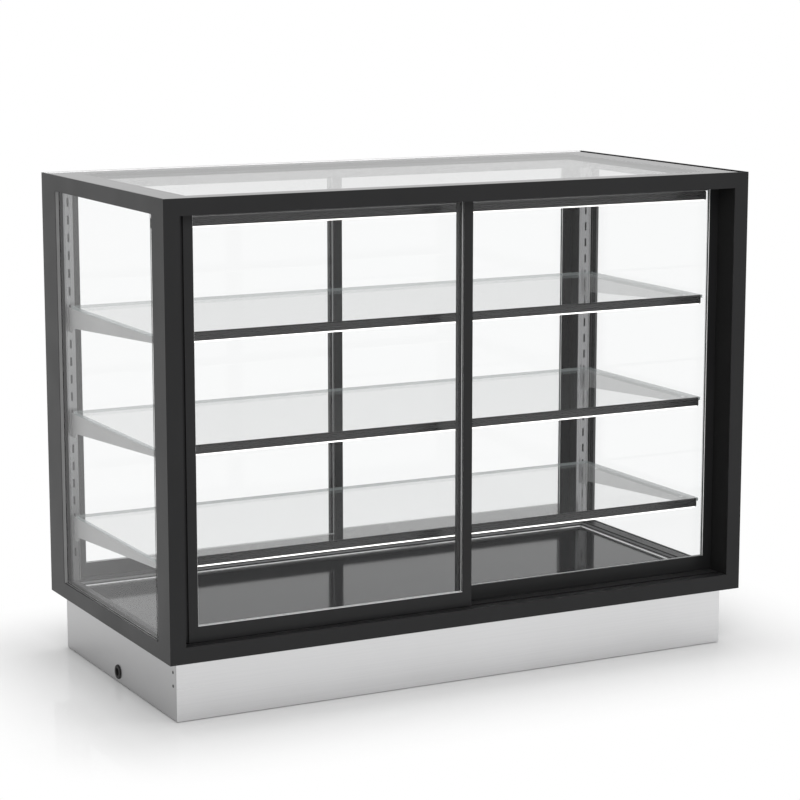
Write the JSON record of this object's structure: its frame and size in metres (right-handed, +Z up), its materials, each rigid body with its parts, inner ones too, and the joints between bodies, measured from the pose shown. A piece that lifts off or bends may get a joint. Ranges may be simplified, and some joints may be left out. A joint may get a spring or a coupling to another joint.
{
  "type": "heated drop-in display case",
  "caption": "Black-framed heated display case with glass top and sides, framed sliding doors front and back, hooked glass shelves, and a stainless plinth that drops into a counter.",
  "frame": {"origin": "bottom centre of the whole case, at the height of the plinth's underside", "axes": "+X along the front towards its right end as the customer sees it, -Y towards the customer, +Z up"},
  "size_m": [1.2, 0.609, 0.929],
  "materials": {
    "frame_black": "satin black powder coat",
    "track_black": "black anodised",
    "clear_glass": "polished, clear",
    "top_glass": "polished, with a dark fired border",
    "stainless": "brushed along its length",
    "rivet_steel": "plain",
    "bracket_grey": "satin light grey",
    "rail_black": "black anodised",
    "cap_black": "moulded",
    "opal_diffuser": "opal",
    "deck_black_glass": "polished black",
    "galvanised": "galvanised",
    "mineral_wool": "felted",
    "heater_silicone": "moulded silicone",
    "grommet_rubber": "matte",
    "control_black": "fine texture",
    "knob_black": "fine texture, pale pointer",
    "rocker_black": "gloss",
    "driver_white": "moulded"
  },
  "bodies": {
    "case": {"front_left_post": "frame_black", "front_right_post": "frame_black", "rear_left_post": "frame_black", "rear_right_post": "frame_black", "front_base_beam": "frame_black", "rear_base_beam": "frame_black", "left_base_beam": "frame_black", "right_base_beam": "frame_black", "top_front_beam": "frame_black", "top_rear_beam": "frame_black", "top_left_beam": "frame_black", "top_right_beam": "frame_black", "front_bottom_track": "track_black", "front_top_track": "track_black", "rear_bottom_track": "track_black", "rear_top_track": "track_black", "left_side_glass": "clear_glass", "right_side_glass": "clear_glass", "upper_shelf_glass": "clear_glass", "middle_shelf_glass": "clear_glass", "lower_shelf_glass": "clear_glass", "top_glass": "top_glass", "shelf_standards": "stainless", "deck_trim": "stainless", "plinth_front": "stainless", "plinth_rear": "stainless", "plinth_left_side": "stainless", "plinth_right_side": "stainless", "plinth_floor": "stainless", "plinth_rivets": "rivet_steel", "left_shelf_brackets": "bracket_grey", "right_shelf_brackets": "bracket_grey", "upper_shelf_rail": "rail_black", "middle_shelf_rail": "rail_black", "lower_shelf_rail": "rail_black", "top_light_bar": "rail_black", "rail_end_caps": "cap_black", "light_diffusers": "opal_diffuser", "deck_glass": "deck_black_glass", "deck_ledge": "galvanised", "heater_pan": "galvanised", "pan_insulation": "mineral_wool", "deck_heater": "heater_silicone", "cable_grommet": "grommet_rubber", "thermostat": "control_black", "switch_housings": "control_black", "terminal_block": "control_black", "led_driver": "driver_white"},
    "front_left_door": {"front_left_door_frame": "frame_black", "front_left_door_glass": "clear_glass"},
    "front_right_door": {"front_right_door_frame": "frame_black", "front_right_door_glass": "clear_glass"},
    "rear_left_door": {"rear_left_door_frame": "frame_black", "rear_left_door_glass": "clear_glass"},
    "rear_right_door": {"rear_right_door_frame": "frame_black", "rear_right_door_glass": "clear_glass"},
    "thermostat_knob": {"thermostat_knob": "knob_black"},
    "power_rocker": {"power_rocker": "rocker_black"},
    "light_rocker": {"light_rocker": "rocker_black"}
  },
  "joints": [
    {"name": "front_left_door_slide", "type": "slide", "parent": "case", "child": "front_left_door", "axis": [1, 0, 0], "range_m": [0, 0.5585]},
    {"name": "front_right_door_slide", "type": "slide", "parent": "case", "child": "front_right_door", "axis": [1, 0, 0], "range_m": [-0.57, 0]},
    {"name": "rear_left_door_slide", "type": "slide", "parent": "case", "child": "rear_left_door", "axis": [1, 0, 0], "range_m": [0, 0.56]},
    {"name": "rear_right_door_slide", "type": "slide", "parent": "case", "child": "rear_right_door", "axis": [1, 0, 0], "range_m": [-0.568, 0]},
    {"name": "thermostat_knob_turn", "type": "hinge", "parent": "case", "child": "thermostat_knob", "pos_m": [0.43, 0.29, 0.058], "axis": [0, -1, 0], "range_deg": [0, 270]},
    {"name": "power_rocker_tilt", "type": "hinge", "parent": "case", "child": "power_rocker", "pos_m": [0.35, 0.2846, 0.058], "axis": [1, 0, 0], "range_deg": [0, 16]},
    {"name": "light_rocker_tilt", "type": "hinge", "parent": "case", "child": "light_rocker", "pos_m": [0.305, 0.2846, 0.058], "axis": [1, 0, 0], "range_deg": [0, 16]}
  ]
}
